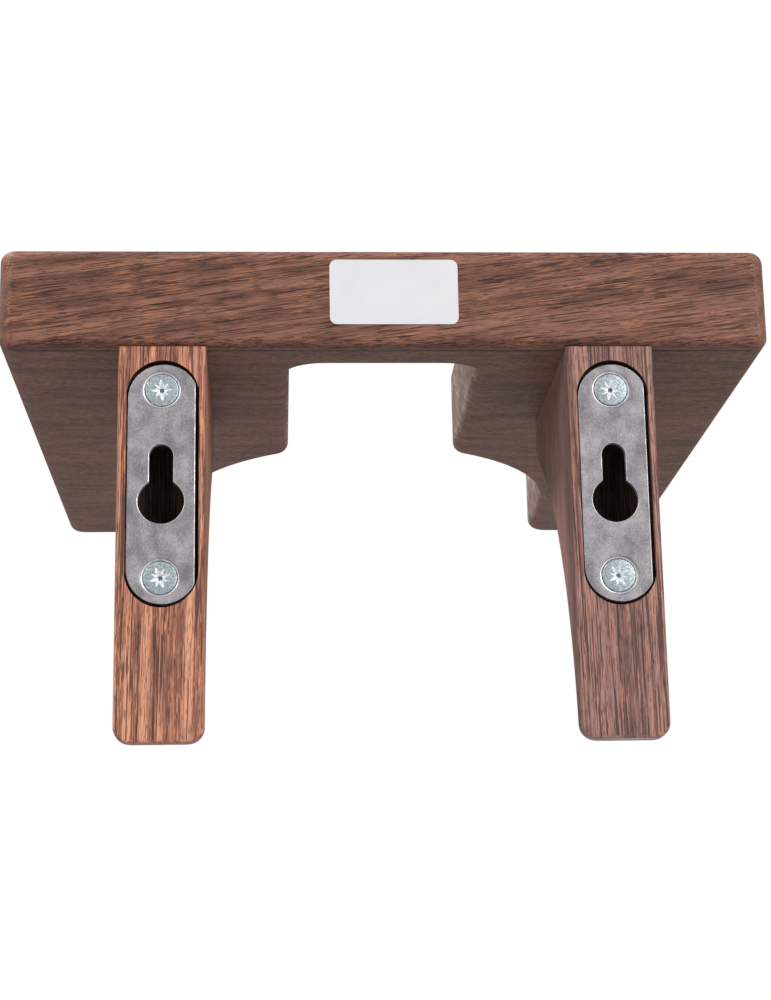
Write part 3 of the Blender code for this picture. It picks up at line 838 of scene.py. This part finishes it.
def stained_wood(name, grain, broad, turn, seed, tones, band_width, dash_length, contrast):
    """Open-pored hardwood under dark oil.

    Growth bands set the tone from dark through middle to light, with slow clouds over them. Then
    come thin dark lines, warm flecks in loose clusters, a fine fibre mottle and dark pore dashes,
    all drawn out along the grain. The broad faces are calmer, and greyer by a painted sheen. Where
    the surface faces along the grain it shows paler end grain, partly a painted sheen, with saw and
    sanding lines.
    """
    wood = Finish(name)
    dark, middle, light, warm, pore, grey = tones
    shift = (seed, seed * 0.7, -seed)

    def pattern(long, fine, detail, roughness=0.55, distortion=0.0):
        """Noise whose unit is long along the grain and fine across it, in millimetres."""
        return wood.noise(
            wood.stretched(lengthwise(grain, long, fine), turn, shift), detail, roughness, distortion
        )

    def times(first, second):
        """The product of two values."""
        return wood.maths("MULTIPLY", first, second)

    clouds = pattern(70.0, 13.0, 2.0)
    bands = pattern(260.0, band_width, 3.0, 0.6, 0.1)
    lines = pattern(60.0, 0.75, 2.0, 0.6)
    flecks = pattern(7.0, 0.27, 2.0, 0.6)
    clusters = pattern(20.0, 5.0, 1.0)
    fibres = pattern(4.0, 0.22, 3.0, 0.65)
    dashes = pattern(dash_length, 0.31, 1.0, 0.5)
    short_dashes = pattern(4.0, 0.26, 1.0, 0.5)
    spread = 0.06 / contrast
    colour = wood.tones(bands, ((0.49 - spread, dark), (0.49, middle), (0.49 + spread, light)))
    colour = wood.mixed(wood.between(clouds, 0.40, 0.60, 0.22, 0.0), colour, dark)
    colour = wood.mixed(wood.between(lines, 0.38, 0.46, 0.45 * contrast, 0.0), colour, dark)
    warmth = times(wood.between(flecks, 0.50, 0.58), wood.between(clusters, 0.42, 0.60, 0.15, 0.80))
    colour = wood.mixed(warmth, colour, warm)
    colour = wood.mixed(wood.between(fibres, 0.38, 0.50, 0.45, 0.0), colour, dark)
    colour = wood.mixed(wood.between(fibres, 0.56, 0.66, 0.0, 0.50), colour, light)
    broad_face = wood.between(wood.facing(broad), 0.7, 0.95)
    # Painted sheen: the broad faces are mixed towards a greyer tone.
    colour = wood.mixed(times(broad_face, 0.38), colour, grey)
    holes = wood.maths(
        "MAXIMUM", wood.between(dashes, 0.585, 0.620), wood.between(short_dashes, 0.62, 0.66, 0.0, 0.75)
    )
    holes = times(holes, wood.between(broad_face, 0.0, 1.0, 1.0, 0.65))
    holes = times(holes, wood.between(wood.facing(grain), 0.08, 0.40, 1.0, 0.06))
    colour = wood.mixed(times(holes, 0.85), colour, pore)
    end_grain = wood.between(wood.facing(grain), 0.60, 0.96)
    # End grain: its own paler tone and a painted sheen, mixed in as one greyer, paler colour.
    ash_and_sheen = tuple(0.60 * channel + 0.09 for channel in middle)
    pale = tuple(0.80 * channel + 0.50 for channel in middle)
    colour = wood.mixed(times(end_grain, 0.75), colour, ash_and_sheen)
    colour = wood.mixed(times(end_grain, end_scratches(wood)), colour, pale)
    wood.set(Base_Color=colour, Specular_IOR_Level=0.28)
    wood.set(Roughness=wood.between(fibres, 0.35, 0.65, 0.66, 0.46))
    wood.bump(wood.maths("SUBTRACT", times(fibres, 0.5), holes), 0.14, 0.9)
    return wood.material


def end_scratches(wood):
    """Short pale saw and sanding lines that cross on the end grain, bold in the sawn slot and mouth.

    The outer ends have been sanded, so the lines fade from SAWN_WITHIN to SANDED_BEYOND.
    """
    first = wood.noise(wood.stretched((80.0, 9.0, 0.28), (33.0, 0.0, 0.0)), 1.0, 0.5, 0.25)
    other_way = wood.stretched((80.0, 11.0, 0.32), (-41.0, 0.0, 0.0), (0.01, 0.02, 0.03))
    second = wood.noise(other_way, 1.0, 0.5, 0.25)
    lines = wood.maths(
        "MAXIMUM", wood.between(first, 0.54, 0.66, 0.0, 0.95), wood.between(second, 0.54, 0.66, 0.0, 0.75)
    )
    patches = wood.between(wood.noise(wood.stretched((20.0, 12.0, 8.0)), 1.0), 0.40, 0.60, 0.35, 1.0)
    split = wood.tree.nodes.new("ShaderNodeSeparateXYZ")
    wood.put(split.inputs[0], wood.coordinates)
    sideways = wood.maths("ABSOLUTE", split.outputs["X"])
    bold = wood.between(sideways, SAWN_WITHIN, SANDED_BEYOND, 1.0, 0.08)
    return wood.maths("MULTIPLY", wood.maths("MULTIPLY", lines, patches), bold)


def painted_shade_wood():
    """Painted shade for the wood inside the recess and the keyhole pocket: dark fibres, nearly black."""
    wood = Finish("milled recess wood")
    fibres = wood.noise(wood.stretched((0.35, 0.35, 9.0)), 3.0, 0.6)
    colour = wood.tones(fibres, ((0.42, (0.014, 0.008, 0.007)), (0.62, (0.085, 0.043, 0.032))))
    wood.set(Base_Color=colour, Roughness=0.7, Specular_IOR_Level=0.15)
    wood.bump(fibres, 0.1, 0.8)
    return wood.material


def plate_steel():
    """Raw sheet steel: grey, softly mottled, with a fine grain, short rolling marks and pale specks."""
    steel = Finish("raw plate steel")
    clouds = steel.noise(steel.stretched((5.0, 5.0, 6.5)), 4.0, 0.6)
    grain = steel.noise(steel.stretched((0.28, 0.28, 0.45)), 3.0, 0.7)
    marks = steel.noise(steel.stretched((0.25, 0.25, 5.0)), 2.0, 0.5)
    tone = steel.maths("ADD", steel.maths("MULTIPLY", clouds, 0.55), steel.maths("MULTIPLY", grain, 0.45))
    colour = steel.tones(tone, (
        (0.40, (0.20, 0.186, 0.202)),
        (0.50, (0.31, 0.292, 0.312)),
        (0.60, (0.44, 0.42, 0.442)),
    ))
    specks = steel.between(steel.noise(steel.stretched((0.5, 0.5, 0.5)), 1.0), 0.70, 0.76, 0.0, 0.6)
    colour = steel.mixed(specks, colour, (0.80, 0.79, 0.80))
    steel.set(Base_Color=colour, Metallic=0.5)
    steel.set(Roughness=steel.between(clouds, 0.35, 0.65, 0.52, 0.62))
    height = steel.maths("ADD", steel.maths("MULTIPLY", grain, 0.6), steel.maths("MULTIPLY", marks, 0.4))
    steel.bump(height, 0.03, 0.7)
    return steel.material


def rim_highlight_steel():
    """The same steel where the punch and handling have burnished its rims in places, painted brighter
    there as a highlight.
    """
    steel = Finish("burnished rim steel with painted highlight")
    wear = steel.noise(steel.stretched((1.4, 1.4, 2.2)), 3.0, 0.6)
    colour = steel.tones(wear, ((0.38, (0.58, 0.56, 0.58)), (0.62, (0.95, 0.94, 0.95))))
    steel.set(Base_Color=colour, Metallic=0.8, Roughness=steel.between(wear, 0.3, 0.7, 0.5, 0.36))
    return steel.material


def zinc_steel():
    """Bright zinc plating with a fine bluish spangle."""
    zinc = Finish("bright zinc plating")
    spangle = zinc.noise(zinc.stretched((0.55, 0.55, 0.55)), 4.0, 0.7)
    colour = zinc.tones(spangle, ((0.40, (0.27, 0.33, 0.37)), (0.60, (0.64, 0.70, 0.74))))
    zinc.set(Base_Color=colour, Metallic=0.75, Roughness=zinc.between(spangle, 0.3, 0.7, 0.52, 0.38))
    zinc.bump(spangle, 0.04, 0.6)
    return zinc.material


def punched_highlight_zinc():
    """The flanks that the punch has left in a driver recess, painted brighter as a highlight."""
    zinc = Finish("punched zinc")
    spangle = zinc.noise(zinc.stretched((0.3, 0.3, 0.3)), 2.0, 0.6)
    colour = zinc.tones(spangle, ((0.35, (0.74, 0.78, 0.81)), (0.65, (0.94, 0.96, 0.98))))
    zinc.set(Base_Color=colour, Metallic=0.35, Roughness=0.45)
    return zinc.material


def dowel_beech():
    """Pale beech with fine lengthwise flecks."""
    beech = Finish("beech dowel wood")
    flecks = beech.noise(beech.stretched((0.5, 0.5, 6.0)), 3.0, 0.6)
    colour = beech.tones(flecks, ((0.35, (0.36, 0.21, 0.11)), (0.6, (0.60, 0.40, 0.23))))
    beech.set(Base_Color=colour, Roughness=0.62)
    beech.bump(flecks, 0.05, 0.5)
    return beech.material


def label_paper():
    """White label stock with faint fibres and clouds and a slight sheen."""
    paper = Finish("white label paper")
    fibre = paper.noise(paper.stretched((0.5, 0.5, 0.5)), 4.0, 0.6)
    clouds = paper.noise(paper.stretched((12.0, 12.0, 12.0)), 2.0)
    tone = paper.maths("ADD", paper.maths("MULTIPLY", fibre, 0.4), paper.maths("MULTIPLY", clouds, 0.6))
    colour = paper.tones(tone, ((0.35, (0.72, 0.71, 0.73)), (0.65, (0.77, 0.76, 0.775))))
    paper.set(Base_Color=colour, Roughness=0.48)
    paper.bump(fibre, 0.02, 0.35)
    return paper.material


def floor_paint():
    """Pale matt studio floor, mottled so faintly that it looks plain."""
    floor = Finish("pale studio floor")
    clouds = floor.noise(floor.stretched((300.0, 300.0, 300.0)), 3.0)
    floor.set(Base_Color=floor.tones(clouds, ((0.3, (0.362, 0.362, 0.358)), (0.7, (0.370, 0.370, 0.366)))))
    floor.set(Roughness=0.8)
    return floor.material


# ---------------------------------------------------------------- studio

FLOOR_DROP = 0.24
FLOOR_REACH = 20.0

BACKDROP_SEEN = 1.0
BACKDROP_FELT = 0.09

# Name, place, strength and softness in degrees of each light.
LIGHTS = (
    ("left soft light", (0.9, 1.0, 0.75), 1.25, 30.0),
    ("right soft light", (-0.9, 1.0, 0.55), 2.25, 30.0),
    ("top soft light", (0.62, -0.15, 1.1), 3.1, 14.0),
)

CAMERA_PLACE = (0.0272, 0.4965, -0.1410)
CAMERA_TURN = (104.602, 0.947, 177.224)
LENS = 76.35
SENSOR_HEIGHT = 36.0


def make_floor(material):
    """A pale floor well below the bracket, which hangs as it does on a wall."""
    level = CAD_BOX[0].z - FLOOR_DROP
    side = np.array(((-1, -1), (1, -1), (1, 1), (-1, 1))) * FLOOR_REACH
    points = np.column_stack((side, np.full(4, level)))
    floor = piece_from("studio_floor", points, [[0, 1, 2, 3]])
    floor.data.materials.append(material)


def soft_light(name, place, strength, softness):
    """A studio light that shines on the bracket from a place's direction, with soft-edged shadows."""
    light = bpy.data.lights.new(name, "SUN")
    light.energy = strength
    light.angle = math.radians(softness)
    lamp = bpy.data.objects.new(name, light)
    lamp.location = place
    lamp.rotation_euler = (-Vector(place)).to_track_quat("-Z", "Y").to_euler()
    bpy.context.scene.collection.objects.link(lamp)


def make_world(seen, felt):
    """A white backdrop that is seen at one strength and lights the bracket at another."""
    world = bpy.data.worlds.new("white studio")
    bpy.context.scene.world = world
    world.use_nodes = True
    nodes, links = world.node_tree.nodes, world.node_tree.links
    backdrop = nodes["Background"]
    backdrop.inputs["Color"].default_value = (1.0, 1.0, 1.0, 1.0)
    backdrop.inputs["Strength"].default_value = seen
    fill = nodes.new("ShaderNodeBackground")
    fill.inputs["Color"].default_value = (1.0, 1.0, 1.0, 1.0)
    fill.inputs["Strength"].default_value = felt
    path = nodes.new("ShaderNodeLightPath")
    choose = nodes.new("ShaderNodeMixShader")
    links.new(path.outputs["Is Camera Ray"], choose.inputs[0])
    links.new(fill.outputs[0], choose.inputs[1])
    links.new(backdrop.outputs[0], choose.inputs[2])
    links.new(choose.outputs[0], nodes["World Output"].inputs["Surface"])


def make_camera():
    """The camera: behind the wall plane and below the shelf, looking up at the bracket's back."""
    lens = bpy.data.cameras.new("camera")
    lens.sensor_fit = "VERTICAL"
    lens.sensor_height = SENSOR_HEIGHT
    lens.lens = LENS
    camera = bpy.data.objects.new("camera", lens)
    camera.location = CAMERA_PLACE
    camera.rotation_euler = [math.radians(angle) for angle in CAMERA_TURN]
    bpy.context.scene.collection.objects.link(camera)
    bpy.context.scene.camera = camera


def make_studio():
    """The camera, the backdrop, the lights and the floor."""
    make_camera()
    make_world(BACKDROP_SEEN, BACKDROP_FELT)
    for name, place, strength, softness in LIGHTS:
        soft_light(name, place, strength, softness)
    make_floor(floor_paint())
    bpy.context.scene.view_settings.view_transform = "Standard"


def make_bracket():
    """Every piece of the bracket, each in place of its node and with its own finish."""
    shelf_wood = stained_wood(
        "dark oiled shelf wood", "X", "Z", (0.0, -8.0, 0.0), 0.0, SHELF_TONES, 3.5, 14.0, 0.7
    )
    right_wood = stained_wood(
        "oiled wood of the right upright", "Z", "X", (0.0, 1.0, 0.0), 0.13, RIGHT_TONES, 1.9, 18.0, 1.1
    )
    left_wood = stained_wood(
        "oiled wood of the left upright", "Z", "X", (0.0, -1.0, 0.0), 0.37, LEFT_TONES, 1.1, 22.0, 0.9
    )
    # Near-black wood that paints shade into the recesses.
    painted_shade = painted_shade_wood()
    # The second steel and the second zinc are painted highlights on rims, lips and recess flanks.
    steel, rims, zinc, punched_highlight = plate_steel(), rim_highlight_steel(), zinc_steel(), punched_highlight_zinc()
    beech = dowel_beech()
    dowels = {hand: [f"{hand}_{place}_dowel" for place in ("front", "rear")] for hand in ("right", "left")}
    boxes = {hand: [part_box(name) for name in names] for hand, names in dowels.items()}
    make_shelf(shelf_wood, boxes["right"] + boxes["left"])
    for hand, wood in (("right", right_wood), ("left", left_wood)):
        make_upright(hand, wood, painted_shade, boxes[hand])
        make_plate(hand, steel, rims)
        for name in dowels[hand]:
            make_dowel(name, beech)
    for name, turn in SCREW_TURNS.items():
        make_screw(name, math.radians(turn), zinc, punched_highlight)
    make_label(label_paper())


make_studio()
make_bracket()
